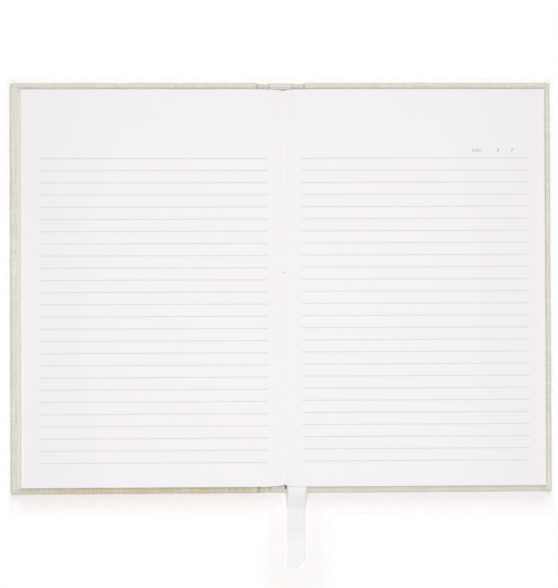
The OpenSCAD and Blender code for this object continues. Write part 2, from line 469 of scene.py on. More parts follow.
def mesh_piece(name, points, faces, materials, smooth=True):
    """An object from points in millimetres and faces."""
    mesh = bpy.data.meshes.new(name)
    mesh.from_pydata([tuple(float(c) * MM for c in p) for p in points], [], faces)
    for material in materials:
        mesh.materials.append(material)
    mesh.polygons.foreach_set("use_smooth", [smooth] * len(mesh.polygons))
    mesh.update()
    piece = bpy.data.objects.new(name, mesh)
    scene.collection.objects.link(piece)
    return piece


def thicken(piece, thickness, offset, even=False):
    """Gives a sheet its thickness: inwards from its faces at offset -1, to both sides at 0."""
    wall = piece.modifiers.new("thickness", "SOLIDIFY")
    wall.thickness = thickness * MM
    wall.offset = offset
    wall.use_even_offset = even
    bake_modifiers(piece)


def rgb(red, green, blue):
    """An sRGB colour, 0 to 255, as the linear colour that a shader takes."""

    def linear(value):
        share = value / 255.0
        return share / 12.92 if share <= 0.04045 else ((share + 0.055) / 1.055) ** 2.4

    return (linear(red), linear(green), linear(blue), 1.0)


def ease(value, low, high):
    """0 below low, 1 above high and smooth between them, for numbers."""
    share = min(1.0, max(0.0, (value - low) / (high - low)))
    return share * share * (3.0 - 2.0 * share)


def sine(value):
    """The sine of a number or of a node's output."""
    return value.sin() if isinstance(value, Wire) else math.sin(value)


def e_to(value):
    """e to the power of a number or of a node's output."""
    return value.exp() if isinstance(value, Wire) else math.exp(value)


# Paper


def page_paper():
    """Smooth white writing paper, warmer towards the fore-edges, with painted shade on the leaves' low ends,
    towards the outer margins and in the thread's holes, and painted light just under the top page.
    """
    f = Finish("page_paper")
    place = f.place()
    across, along, up = f.axes(place)
    outward = abs(across - GUTTER_X * MM)
    cloud = f.noise(place, 38.0, 3.0, 0.55)
    fibre = f.noise(place, 2600.0, 4.0, 0.65)
    fleck = f.noise(place, 700.0, 2.0, 0.5).ramp(0.68, 0.8)
    white = f.mix(cloud, rgb(243.0, 239.6, 242.8), rgb(242.6, 240.1, 241.8))
    # Creamy at the fore-edge; there the leaves' ends low in the stack are darkened, which is painted shade,
    # and those just under the top page are lightened, which is painted light
    worn = f.mix(outward.ramp(0.1345, 0.1372) * 0.8, white, rgb(245.0, 242.3, 237.8))
    painted_ledge_shade = outward.ramp(0.1366, 0.1375) * (1.0 - up.ramp(0.0034, 0.0065)) * 0.22
    high_ledge = outward.ramp(0.1370, 0.1376) * up.ramp(0.0045, 0.0075)
    painted_ledge_light = high_ledge * (1.0 - up.ramp(0.0090, 0.0094)) * 0.8
    inner = f.mix(painted_ledge_light, f.mix(painted_ledge_shade, worn, rgb(226, 221, 208)), rgb(254, 252, 247))
    # A hole at both ends of each stitch, one of them pulled open; its dark colour is painted shade
    pitch = STITCH_PITCH * MM
    half_stitch = STITCH_L / 2 * MM
    stitch = (along * (1 / pitch) + 0.5).fract() - 0.5
    past_stitch = abs(stitch) * pitch - half_stitch
    from_hole = (past_stitch ** 2.0 + (across - GUTTER_X * MM) ** 2.0) ** 0.5
    in_row = 1.0 - abs(along).ramp(0.086, 0.087)
    pulled_open = 1.0 - abs(along - half_stitch).ramp(0.002, 0.004)
    hole = (1.0 - from_hole.ramp(0.00025, 0.0007)) * in_row * (0.25 + pulled_open * 0.75)
    holes_shaded = f.mix(hole * 0.62, inner, rgb(150.0, 146.0, 143.0))
    # Greyer towards the outer margins of the page: painted shade
    painted_margin_shade = outward.ramp(0.086, 0.122) * 0.018
    grained = f.shade(holes_shaded, 0.992 + fibre * 0.014 - fleck * 0.008 - painted_margin_shade)
    relief = fibre * 0.6 + cloud * 0.4 - hole * 3.0
    return f.surface(
        Base_Color=grained,
        Roughness=0.78 + fibre * 0.12,
        Specular_IOR_Level=0.28,
        Normal=f.bump(relief, 0.00002, 0.35),
    )


def leaf_edge():
    """Cut edges of the leaves: creamier, each leaf a little different."""
    f = Finish("leaf_edge")
    across, along, up = f.axes(f.place())
    leaf = f.noise(f.vector(across * 9.0, along * 9.0, up * 9000.0), 1.0, 1.0)
    run = f.noise(f.vector(across * 60.0, along * 60.0, up * 2500.0), 1.0, 3.0)
    tone = f.mix(leaf, rgb(246, 240, 229), rgb(252, 249, 243))
    return f.surface(
        Base_Color=f.shade(tone, 0.93 + run * 0.1),
        Roughness=0.9,
        Specular_IOR_Level=0.2,
        Normal=f.bump(leaf, 0.00004, 0.6),
    )


def printed_ink(name, colour, coverage):
    """Thin printed ink, broken a little by the paper's grain."""
    f = Finish(name)
    place = f.place()
    grain = f.noise(place, 5200.0, 3.0, 0.6)
    drift = f.noise(place, 60.0, 2.0)
    thin = grain.ramp(0.62, 0.8) * coverage + drift * 0.12
    return f.surface(
        Base_Color=f.mix(thin, colour, rgb(240, 237.5, 240)),
        Roughness=0.62 + grain * 0.2,
        Specular_IOR_Level=0.25,
        Normal=f.bump(grain, 0.00001, 0.3),
    )


def leaf_surface(u, y, side):
    """Height of the open page over the table, for a distance u from the gutter and a place y.

    It takes numbers and nodes' outputs alike.
    """
    rise = VALLEY_DEPTH * e_to(u * (-1.0 / VALLEY_W))
    slow = sine(y * (1 / 31.0) + u * (1 / 47.0) + side * 0.7)
    quick = sine(y * (1 / 17.0) - u * (1 / 29.0) + side * 1.9)
    cockle = ((slow + 1.0) * 0.045 + (quick + 1.0) * 0.02) * (1.0 - e_to(u * (-1.0 / 25.0)))
    return PAGE_TOP - rise - cockle


def leaf_tree(paper, edge):
    """Leaves lying on each other: one thin closed plate, repeated up the stack."""
    g = Growth("leaves")
    leaves = g.size("leaves", "Int")
    first = g.size("first_share")
    last = g.size("last_share")
    side = g.size("side")
    reach = g.size("reach")
    lean = g.size("lean")
    skew = g.size("skew")
    steps_out = g.size("steps_out", "Int")
    steps_along = g.size("steps_along", "Int")
    ribbon_gap = g.size("ribbon_gap")
    scatter = g.size("scatter")
    seed = g.size("seed", "Int")
    plate = g.plate(steps_out, steps_along)
    facing = g.node("GeometryNodeInputNormal", None, None, "Normal")
    upright = abs(g.axes(facing)[2]).below(0.5)
    plate = g.marked(plate, "rim", upright, "BOOLEAN", "FACE")
    stack, leaf = g.repeat(plate, leaves, "leaf")
    out, along, face = g.place()
    # Each leaf's share of the stack's height, and its place in its sewn bundle
    top_side = face + 0.5
    in_stack = leaf + LEAF_AIR + top_side * (1.0 - LEAF_AIR)
    share = first + in_stack / leaves * (last - first)
    middle = first + (leaf + 0.5) / leaves * (last - first)
    bundle = middle * (LEAVES / SECTION_LEAVES)
    # Leaves deep in a bundle stand out further, and none is cut or squared up quite like the next
    creep = abs(bundle.fract() - 0.5) ** 3.0 * -1.5
    jog = g.number(-0.09, 0.09, bundle.floor(), seed + 5) * scatter
    uneven = g.number(-0.07, 0.07, leaf, seed) * scatter
    shift = g.number(-0.06, 0.06, leaf, seed + 9) * scatter
    # The top leaves are drawn in more and more towards the tail
    loose_from = 0.87
    lifted = (middle - loose_from).most(0.0) * (1 / (1.0 - loose_from))
    drawn_in = skew * lifted ** 1.5 * (0.5 - along)
    full = reach - middle * lean + creep + uneven + jog - drawn_in
    u = (out + 0.5) ** 2.2 * full + 0.01
    # Near the gutter the leaves' ends fall back from the head and tail
    tail = along.below(0.0)
    at_tail = tail * 1.1 * e_to(u * (-1 / 1.5))
    at_head = (1.0 - tail) * 0.8 * e_to(u * (-1 / 1.2))
    recess = at_tail + at_head
    y = along * (PAGE_H + creep * 2.0 + uneven - recess * 2.0) + shift
    z = STACK_Z + share * (leaf_surface(u, y, side) - STACK_Z)
    # The ribbon parts the leaves above it from those below
    over = middle.above(RIBBON_SHARE) * 2.0 - 1.0
    near = e_to(abs(middle - RIBBON_SHARE) * -10.0)
    beside = u.ramp(0.4, 1.8) * (1.0 - u.ramp(12.3, 15.0)) * (1.0 - y.ramp(92.0, 99.0))
    z = z + over * near * beside * ribbon_gap
    stack = g.faced(g.moved(stack, GUTTER_X + side * u, y, z), side)
    rim = g.held("rim", "BOOLEAN")
    level = g.node("FunctionNodeBooleanMath", {"operation": "NOT"}, {0: rim})
    stack = g.smooth(g.smooth(stack, rim, False), level)
    g.finish(stack, paper, edge)
    return g


def make_leaves():
    """Both open stacks and their top leaves."""
    paper = page_paper()
    tree = leaf_tree(paper, leaf_edge())
    under_top = (LEAVES - 1) / LEAVES
    for name, side, lean, skew, ribbon_gap, seed in (
        ("left", -1.0, LEAN_LEFT, 0.9, 0.0, 11),
        ("right", 1.0, LEAN_RIGHT, 0.15, 0.17, 47),
    ):
        for part, leaves, first_share, last_share, steps_out, steps_along, scatter in (
            ("leaves_", LEAVES - 1, 0.0, under_top, 25, 9, 1.0),
            ("page_", 1, under_top, 1.0, 64, 41, 0.3),
        ):
            piece = tree.grow(
                part + name,
                leaves=leaves,
                first_share=first_share,
                last_share=last_share,
                side=side,
                reach=LEAF_REACH,
                lean=lean,
                skew=skew,
                steps_out=steps_out,
                steps_along=steps_along,
                ribbon_gap=ribbon_gap,
                scatter=scatter,
                seed=seed,
            )
            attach(piece, "book_block")
            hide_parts("text_block")
    return paper


def make_section_folds(paper):
    """Backs of the sewn bundles, side by side along the spine of the leaves."""
    g = Growth("section_folds")
    count = g.size("bundles", "Int")
    span = g.size("span")
    bars, number = g.repeat(g.rod(12, 24, 1.0, 1.0), count, "bundle")
    side, deep, run = g.place()
    pitch = 2.0 * span / count
    x = (number + 0.5) * pitch - span + side * pitch * 0.52
    y = run * (PAGE_H - 7.0) + g.number(-0.2, 0.2, number, 3)
    z = FOLD_Z + (run * 9.0 * math.pi).sin() * 0.02 - deep * 0.45
    bars = g.smooth(g.moved(bars, x, y, z))
    g.finish(bars, paper)
    folds = g.grow("section_folds", bundles=16, span=SPINE_HALF - 0.1)
    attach(folds, "book_block")
    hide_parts("text_block")


def rule_tree(ink):
    """Printed lines that follow the curved page."""
    g = Growth("ruling")
    lines = g.size("lines", "Int")
    first = g.size("first_line")
    pitch = g.size("pitch")
    inner = g.size("inner_end")
    outer = g.size("outer_end")
    width = g.size("width")
    side = g.size("side")
    strips, number = g.repeat(g.plate(64, 2), lines, "line")
    out, across, face = g.place()
    u = inner + (out + 0.5) * (outer - inner)
    y = first - number * pitch + across * width
    z = leaf_surface(u, y, side) + INK_LIFT + (face + 0.5) * INK_T
    strips = g.faced(g.moved(strips, GUTTER_X + side * u, y, z), side)
    g.finish(strips, ink)
    return g


def make_ruling():
    """Twenty-six lines on each page."""
    tree = rule_tree(printed_ink("rule_ink", rgb(223.5, 221.5, 224.5), 0.3))
    for name, side, pitch, inner, outer in (
        ("left", -1.0, PITCH_LEFT, 8.2, 128.4),
        ("right", 1.0, PITCH_RIGHT, 9.7, 130.5),
    ):
        ruling = tree.grow(
            "ruling_" + name,
            lines=RULE_COUNT,
            first_line=FIRST_RULE_Y,
            pitch=pitch,
            inner_end=inner,
            outer_end=outer,
            width=RULE_W,
            side=side,
        )
        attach(ruling, "book_block")
        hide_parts("ruled_lines_" + name)


def date_strokes():
    """The date field's strokes: distance from the gutter, height and width."""
    heights = (1.9, 1.1, 1.2, 1.1, 1.8, 1.1, 1.2)
    ticks = [(DATE_TICKS_U + k * DATE_TICK_PITCH, tall, 0.3) for k, tall in enumerate(heights)]
    return ticks + [(u, 2.0, 0.42) for u in DATE_SLASHES_U]


def make_date_field():
    """Short printed ticks and two slashes above the first line of the right page."""
    ink = printed_ink("mark_ink", rgb(150, 149, 153), 0.12)
    foot = FIRST_RULE_Y + DATE_OVER_RULE
    rows = 7
    points = []
    faces = []
    for stroke_u, height, width in date_strokes():
        start = len(points)
        for i in range(rows):
            t = i / (rows - 1)
            taper = width * (0.55 + 0.45 * math.sin(math.pi * min(1.0, 0.15 + t * 0.8)))
            y = foot + t * height
            middle = stroke_u + 0.35 * t * height + 0.05 * math.sin(t * 5.0)
            for edge in (-0.5, 0.5):
                u = middle + edge * taper
                ground = leaf_surface(u, y, 1.0)
                points.append((GUTTER_X + u, y, ground + 0.006))
                points.append((GUTTER_X + u, y, ground + 0.036))
        for i in range(rows - 1):
            a = start + i * 4
            b = a + 4
            faces.append((a + 1, a + 3, b + 3, b + 1))
            faces.append((a, b, b + 2, a + 2))
            faces.append((a, a + 1, b + 1, b))
            faces.append((a + 2, b + 2, b + 3, a + 3))
        faces.append((start, start + 2, start + 3, start + 1))
        end = start + (rows - 1) * 4
        faces.append((end, end + 1, end + 3, end + 2))
    field = mesh_piece("date_field", points, faces, [ink], smooth=False)
    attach(field, "book_block")
    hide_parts("date_marks")


# Linen case


def linen():
    """Natural bookcloth: a plain weave of slubby threads with painted shade in its gaps, paler where worn
    and, as painted light, on the back's tail strip, and darker along the tail as painted shade.
    """
    f = Finish("cover_linen")
    across, along = f.woven("cloth")
    wear_and_painted_light = f.worn("wear_and_painted_light")
    painted_tail_shade = f.worn("painted_tail_shade")
    blotch = f.noise(f.vector(across, along, 7.0), 95.0, 2.0, 0.6).ramp(0.3, 0.7)
    drift = f.noise(f.vector(across, along, 0.0), 70.0, 2.0)
    drift_too = f.noise(f.vector(along, across, 3.0), 70.0, 2.0)
    # Both sets of threads wander a little and have thick places of their own
    threads = 1 / (THREAD_PITCH * MM)
    warp = across * threads + (drift - 0.5) * 2.4
    weft = along * threads + (drift_too - 0.5) * 2.4
    warp_number = warp.floor()
    weft_number = weft.floor()
    in_warp = warp.fract()
    in_weft = weft.fract()
    warp_slub = f.noise(f.vector(warp_number * 7.31, along * 110.0, 1.0), 1.0, 2.0, 0.6)
    weft_slub = f.noise(f.vector(across * 110.0, weft_number * 5.77, 9.0), 1.0, 2.0, 0.6)
    # Threads are round and pass over and under each other by turns
    warp_round = in_warp * (1.0 - in_warp) * 4.0
    weft_round = in_weft * (1.0 - in_weft) * 4.0
    over = ((warp_number + weft_number) * 0.5).fract() * 4.0 - 1.0
    warp_height = warp_round ** 0.8 * 0.5 + over * weft_round * 0.34 + (warp_slub - 0.5) * 1.3
    weft_height = weft_round ** 0.8 * 0.5 - over * warp_round * 0.34 + (weft_slub - 0.5) * 1.3
    height = warp_height.most(weft_height)
    warp_shows = (warp_height - weft_height).ramp(-0.04, 0.04)
    warp_fibre = f.noise(f.vector(across * 16000.0, along * 2200.0, 0.5), 1.0, 3.0, 0.65)
    weft_fibre = f.noise(f.vector(across * 2200.0, along * 16000.0, 0.5), 1.0, 3.0, 0.65)
    fibre = warp_fibre * warp_shows + weft_fibre * (1.0 - warp_shows)
    warp_tone = f.noise(f.vector(warp_number * 3.17, along * 40.0, 5.0), 1.0, 1.0)
    weft_tone = f.noise(f.vector(across * 40.0, weft_number * 3.71, 2.0), 1.0, 1.0)
    # Each thread has a tone of its own between flax and pale; the gaps between threads are darkened with
    # painted shade
    pale = rgb(235, 234, 228)
    flax = rgb(203, 197.5, 182)
    warp_colour = f.mix((warp_tone - 0.5) * 2.2 + (warp_slub - 0.5) * 1.2 + 0.55, flax, pale)
    weft_colour = f.mix((weft_tone - 0.5) * 2.2 + (weft_slub - 0.5) * 1.2 + 0.5, flax, pale)
    thread = f.mix(warp_shows, weft_colour, warp_colour)
    painted_gap_shade = 1.0 - height.ramp(-0.1, 0.45)
    lit = f.shade(thread, 0.97 - painted_gap_shade * 0.24 + fibre * 0.1)
    # Paler where worn, and on the back's tail strip, where this is painted light
    worn = f.mix(wear_and_painted_light * (0.2 + fibre * 0.4), lit, rgb(231, 229, 221))
    # Darker and warmer along the tail: painted shade
    tint = (0.905, 0.815, 0.65, 1.0)
    toned = f.mix(painted_tail_shade * (0.5 + blotch * 0.5), worn, tint, "MULTIPLY")
    return f.surface(
        Base_Color=toned,
        Roughness=0.84 + fibre * 0.12,
        Specular_IOR_Level=0.22,
        Sheen_Weight=0.12,
        Sheen_Roughness=0.5,
        Normal=f.bump(height + fibre * 0.3, 0.00014, 0.75),
    )


def case_height(x):
    """Height of the folded cloth's upper face over the spine card, the groove and the board."""
    off_spine = SPINE_TOP + (GROOVE_TOP - SPINE_TOP) * ease(x, SPINE_HALF - 0.1, SPINE_HALF + 1.0)
    return off_spine + (CASE_TOP - GROOVE_TOP) * ease(x, BOARD_IN - 1.1, BOARD_IN + 0.2)


def joint_dip(x):
    """How far the cloth's outer face is pressed in along the joint."""
    return 0.15 * ease(x, 6.6, 8.6) * (1.0 - ease(x, 10.4, 12.6))


def edge_section(x):
    """The cloth's way round the edge, from underneath to the end of its turn-in: inset, height, rub."""
    top = case_height(x)
    low = min(0.8, 0.42 * top)
    high = min(0.75, 0.42 * top)
    quarter = [math.radians(degrees) for degrees in (22.5, 45.0, 67.5)]
    steps = [(low, joint_dip(x), 0.35)]
    steps += [(low * (1 - math.sin(a)), low * (1 - math.cos(a)), 0.8) for a in quarter]
    steps += [(0.0, low, 1.0), (0.0, top - high, 1.0)]
    steps += [(high * (1 - math.cos(a)), top - high + high * math.sin(a), 0.9) for a in quarter]
    steps.append((high, top, 0.5))
    steps += [(inset, top, 0.12 if inset < 2 else 0.0) for inset in (1.8, 3.2, 5.0, 9.0, TURN_IN)]
    return steps


# Numbers of the section's steps: its outer face, the top's rim and the turn-in past its first part.
FACE_STEPS = range(4, 10)
TOP_STEP = 9
PAST_TOP = 12


# Angles of the stops round a corner; the mitre's fold lies between the middle two.
MITRE = (67.5, 46.0, 44.0, 22.5)


def hem_columns():
    """Places along the head of the case, closer together over the groove."""
    near = [0, 1.5, 3.0, 4.4, 5.4, 5.9, 6.2, 6.5, 6.9, 7.4, 8.0, 8.7, 9.5, 10.3, 11.0, 11.6]
    rise = [11.9, 12.2, 12.5, 12.8, 13.1, 13.5, 14.2, 15.5, 17.5, 20.0, 24.0]
    rest = [24.0 + 7.0 * k for k in range(1, 15)]
    return near + rise + rest


def edge_path(columns, rows):
    """Stops round a half's three edges, head first: kind, place or angle, and which end."""
    parts = []
    for end in (1.0, -1.0):
        part = [("end", x, end) for x in columns] + [("last", 0.0, end)]
        part += [("arc", degrees, end) for degrees in MITRE]
        parts.append(part + [("side_end", 0.0, end)])
    return parts[0] + [("fore", y, 0.0) for y in rows] + parts[1][::-1]


def edge_spot(kind, value, end, step, inset):
    """Where a step of the cloth's section lies at one stop, seen from above."""
    radius = max(CORNER_R - inset, LEAST_R)
    if step in FACE_STEPS and kind in ("end", "fore"):
        inset += 0.05 * math.sin(value * 0.21 + step * 0.4)
    far_x = COVER_OUT - inset
    far_y = COVER_HALF_H - inset
    if kind == "end":
        return value, end * far_y
    if kind == "last":
        return far_x - radius, end * far_y
    if kind == "side_end":
        return far_x, end * (far_y - radius)
    if kind == "fore":
        return far_x, value
    a = math.radians(value)
    return far_x - radius + radius * math.cos(a), end * (far_y - radius + radius * math.sin(a))


def mitre_lift(kind, value, step, x):
    """How far the head's and tail's turn-ins rise over the fore-edge's towards the corner."""
    if kind in ("end", "last") and step > TOP_STEP:
        return 0.1 * ease(x, 118.0, 140.0)
    if kind == "arc" and value > 45.0 and step >= TOP_STEP:
        return 0.16
    return 0.0


def cloth_wear_and_painted_light(side, kind, step, x, y, rub):
    """How worn the cloth is at a point, with painted light added on the back's tail strip, and how much
    painted shade it gets along the tail.
    """
    near_corner = 0.25 if kind in ("arc", "last", "side_end") else 0.0
    near_spine = 0.9 * (1.0 - ease(x, 4.0, 13.0)) if kind == "end" and step < PAST_TOP else 0.0
    # The back's tail strip is made paler: painted light
    painted_light_back_tail = 1.5 if side > 0 and y < -100.0 else 0.0
    head = 0.6 if y > 100.0 else 0.0
    # Painted shade along the tail, full on the front and faint on the back, fading out at the corner
    tail_share = ease(-y, 98.0, 106.0) * (0.15 if side > 0 else 1.0)
    tail_share *= 1.0 - 0.9 * ease(x, 132.0, 141.0)
    painted_tail_shade = tail_share * (1.0 - near_spine) * (1.0 if step > 2 else 0.4)
    return min(1.6, rub + near_corner + near_spine + painted_light_back_tail + head), painted_tail_shade


def make_case_half(name, side, cloth):
    """One half of the case's cloth, from the middle of the spine round the board's three edges."""
    columns = hem_columns()
    rows = [84.0 - 8.0 * k for k in range(22)]
    path = edge_path(columns, rows)
    board_section = edge_section(60.0)
    bottom_inset = board_section[0][0]
    rings = len(board_section)
    points = []
    wear_and_painted_light = []
    painted_tail_shade = []
    flat = []
    for kind, value, end in path:
        section = edge_section(value) if kind == "end" else board_section
        run = 0.0
        before = None
        for step, (inset, z, rub) in enumerate(section):
            x, y = edge_spot(kind, value, end, step, inset)
            spot = (side * x, y, z + mitre_lift(kind, value, step, x))
            if before is not None:
                run += math.dist(before, spot)
            before = spot
            points.append(spot)
            wear_and_light_here, tail_shade_here = cloth_wear_and_painted_light(side, kind, step, x, y, rub)
            wear_and_painted_light.append(wear_and_light_here)
            painted_tail_shade.append(tail_shade_here)
            on_end = (side * x, end * (COVER_HALF_H - section[0][0] + run))
            on_fore = (side * (COVER_OUT - bottom_inset + run), y)
            flat.append((on_end, on_fore))
    faces = []
    face_flat = []

    def add(corners, way=0):
        """A face whose weave runs as at the ends, way 0, or as at the fore-edge, way 1."""
        if side < 0:
            corners = corners[::-1]
        faces.append(tuple(corners))
        face_flat.append([flat[c][way] for c in corners])

    total = len(path)
    mitre_in = len(columns) + 3
    for stop in range(total - 1):
        on_fore_edge = mitre_in <= stop < total - 1 - mitre_in
        for k in range(rings - 1):
            a = stop * rings + k
            b = a + rings
            add([a, a + 1, b + 1, b], 1 if on_fore_edge else 0)
    round_corner = bottom_inset + max(CORNER_R - bottom_inset, LEAST_R)
    last_y = COVER_HALF_H - round_corner
    bottom_columns = columns + [COVER_OUT - round_corner]
    bottom_rows = [last_y] + rows + [-last_y]
    base = len(points)
    for x in bottom_columns:
        for y in bottom_rows:
            points.append((side * x, y, joint_dip(x)))
            wear_and_painted_light.append(0.12 * ease(x, 20.0, 60.0))
            painted_tail_shade.append(0.0)
            flat.append(((side * x, y), (side * x, y)))
    wide = len(bottom_columns)
    tall = len(bottom_rows)

    def grid(i, j):
        return base + i * tall + j

    for i in range(wide - 1):
        for j in range(tall - 1):
            add([grid(i, j), grid(i + 1, j), grid(i + 1, j + 1), grid(i, j + 1)])
    for i in range(wide - 1):
        head_a, head_b = i * rings, (i + 1) * rings
        add([head_a, head_b, grid(i + 1, 0), grid(i, 0)])
        tail_a, tail_b = (total - 1 - i) * rings, (total - 2 - i) * rings
        add([grid(i, tall - 1), grid(i + 1, tall - 1), tail_b, tail_a])
    first_fore = len(columns) + 1 + len(MITRE)
    for j in range(tall - 1):
        a, b = (first_fore + j) * rings, (first_fore + j + 1) * rings
        add([grid(wide - 1, j), a, b, grid(wide - 1, j + 1)], 1)
    head_arc = [stop * rings for stop in range(len(columns), first_fore + 1)]
    tail_arc = [stop * rings for stop in range(total - 1 - first_fore, total - len(columns))]
    add([grid(wide - 1, 0)] + head_arc)
    add([grid(wide - 1, tall - 1)] + tail_arc)
    piece = mesh_piece(name, points, faces, [cloth])
    layer = piece.data.uv_layers.new(name="cloth")
    spread = [c for corners in face_flat for pair in corners for c in pair]
    layer.data.foreach_set("uv", [c * MM for c in spread])
    for title, values in (("wear_and_painted_light", wear_and_painted_light), ("painted_tail_shade", painted_tail_shade)):
        piece.data.attributes.new(title, "FLOAT", "POINT").data.foreach_set("value", values)
    thicken(piece, CLOTH_T, -1.0, even=True)
    return piece


def make_case():
    """The case's cloth in two halves that meet in the middle of the spine."""
    cloth = linen()
    for name, side, body in (("front", -1.0, "front_cover"), ("back", 1.0, "back_cover")):
        half = make_case_half("linen_" + name, side, cloth)
        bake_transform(half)
        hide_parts(body + "_cloth", "spine_cloth")


# Sewing


def cotton():
    """Pale twisted cotton with a darker stripe every few turns, strong at the tail from the gutter towards
    the ribbon and faint elsewhere.
    """
    f = Finish("band_cotton")
    place = f.place()
    fibre = f.noise(place, 6000.0, 3.0, 0.6)
    across, along = f.axes(place)[:2]
    stripe_pitch = 0.0037
    stripe = (across * (1 / stripe_pitch) + 0.397).fract().ramp(0.74, 0.77)
    # The stripes are strong only at the tail, from the gutter towards the ribbon
    stripe_strength = 0.12 + across.ramp(-0.0016, 0.0012) * (1.0 - along.ramp(-0.05, 0.05)) * 0.88
    base = f.mix(stripe * stripe_strength, rgb(240, 238, 232), rgb(122, 119, 119))
    return f.surface(
        Base_Color=f.shade(base, 0.92 + fibre * 0.14),
        Roughness=0.75 + fibre * 0.15,
        Specular_IOR_Level=0.3,
        Sheen_Weight=0.15,
        Normal=f.bump(fibre, 0.00004, 0.6),
    )


def thread_linen():
    """White waxed thread."""
    f = Finish("sewing_thread")
    place = f.place()
    fibre = f.noise(place, 9000.0, 3.0, 0.6)
    return f.surface(
        Base_Color=f.mix(fibre, rgb(242, 239.5, 240), rgb(247, 245, 246)),
        Roughness=0.5 + fibre * 0.2,
        Specular_IOR_Level=0.4,
        Normal=f.bump(fibre, 0.00003, 0.5),
    )


def make_bands():
    """A core wound with thread at each end of the spine, on a short tape."""
    g = Growth("band")
    end = g.size("end")
    turns = g.size("turns")
    coil = g.strand(g.spiral(14, turns, WINDING_R, BAND_L), 7, 0.14)
    core = g.transformed(g.rod(18, 10, CORE_R, BAND_L), Translation=(0.0, 0.0, BAND_L / 2))
    bead = g.joined(core, coil)
    side, up, run = g.place()
    x = run - BAND_L / 2
    sag = abs(x) ** 2.0 * -0.004
    bead = g.smooth(g.moved(bead, x, end * (BAND_Y + side), BAND_Z + sag + up * end))
    tape = g.plate(17, 9)
    width, length, thick = g.place()
    weave = (width * 90.0).sin() * 0.01
    tape_z = TAPE_Z + thick * TAPE_T + weave
    tape = g.moved(tape, width * BAND_L, end * (TAPE_Y + length * TAPE_H), tape_z)
    both = g.joined(g.faced(tape, end), bead)
    g.finish(both, cotton())
    for name, direction in (("head", 1.0), ("tail", -1.0)):
        band = g.grow("wound_" + name + "_band", end=direction, turns=41.0)
        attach(band, "book_block")
        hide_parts(name + "_band")


def make_stitches():
    """Two-ply stitches in the gutter, each end sinking into its hole."""
    g = Growth("stitches")
    count = g.size("stitches", "Int")
    pitch = g.size("pitch")
    length = g.size("length")
    ply = g.spiral(8, 9.0, 0.09, 1.0)
    plies = g.joined(ply, g.transformed(ply, Rotation=(0.0, 0.0, math.pi)))
    twist = g.strand(g.transformed(plies, Scale=(1.0, 1.0, TWIST_L)), 6, 0.1)
    stitches, number = g.repeat(twist, count, "stitch")
    side, up, run = g.place()
    share = run / TWIST_L
    from_middle = abs(share - 0.5) * 2.0
    y = (number - (count - 1) * 0.5) * pitch + (share - 0.5) * length
    z = STITCH_Z + up - from_middle ** 14.0 * 0.45
    stitches = g.smooth(g.turned(g.moved(stitches, GUTTER_X + side, y, z)))
    g.finish(stitches, thread_linen())
    thread = g.grow("twisted_stitches", stitches=STITCHES, pitch=STITCH_PITCH, length=STITCH_L)
    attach(thread, "book_block")
    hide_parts("sewing_thread")


# Ribbon marker


def satin():
    """White satin: fine crosswise threads, long soft floats and firmer edges."""
    f = Finish("ribbon_satin")
    across, along = f.woven("ribbon")
    edge = abs(across).ramp(0.0040, 0.0049)
    weft = (along * (1 / 0.00022)).fract()
    weft_round = weft * (1.0 - weft) * 4.0
    floats = f.noise(f.vector(across * 5200.0, along * 700.0, 0.0), 1.0, 2.0, 0.6)
    cloud = f.noise(f.vector(across, along, 0.0), 160.0, 2.0)
    clean = f.mix(cloud, rgb(246.5, 246.0, 247.0), rgb(248.5, 248.0, 249.0))
    # Along the ribbon, counted down from its held end: painted shade of the book, greyest where it lies on
    # the table beside the book and less towards its tip
    painted_book_shade = (1.0 - along.ramp(-0.2110, -0.2078)) * (0.42 + along.ramp(-0.232, -0.220) * 0.58)
    white = f.mix(painted_book_shade, clean, rgb(235.0, 235.0, 236.0))
    firm = f.mix(edge * 0.6, white, rgb(232, 232, 234))
    height = weft_round * (0.35 + edge * 0.9) + floats * 0.8
    return f.surface(
        Base_Color=f.shade(firm, 0.975 + floats * 0.04),
        Roughness=0.5 + edge * 0.2 + floats * 0.12,
        Specular_IOR_Level=0.35,
        Sheen_Weight=0.2,
        Sheen_Roughness=0.35,
        Normal=f.bump(height, 0.00003, 0.45),
    )


def ribbon_line():
    """The ribbon's middle line, from its held end to its loose end: place along Y, and height if outside."""
    inside = [(93.0 - 6.0 * k, None) for k in range(33)] + [(-104.2, None), (-105.4, None)]
    fall = []
    for k in range(25):
        s = k / 24
        height = RIBBON_LOW_Z + (RIBBON_OUT_Z - RIBBON_LOW_Z) * (1 + math.cos(math.pi * s)) / 2
        fall.append((FALL_FROM_Y + s * (FALL_TO_Y - FALL_FROM_Y), height))
    flat = [(FALL_TO_Y - 1.2 * k, RIBBON_LOW_Z) for k in range(1, 27)]
    return inside + fall + flat + [(RIBBON_END_Y, RIBBON_LOW_Z)]


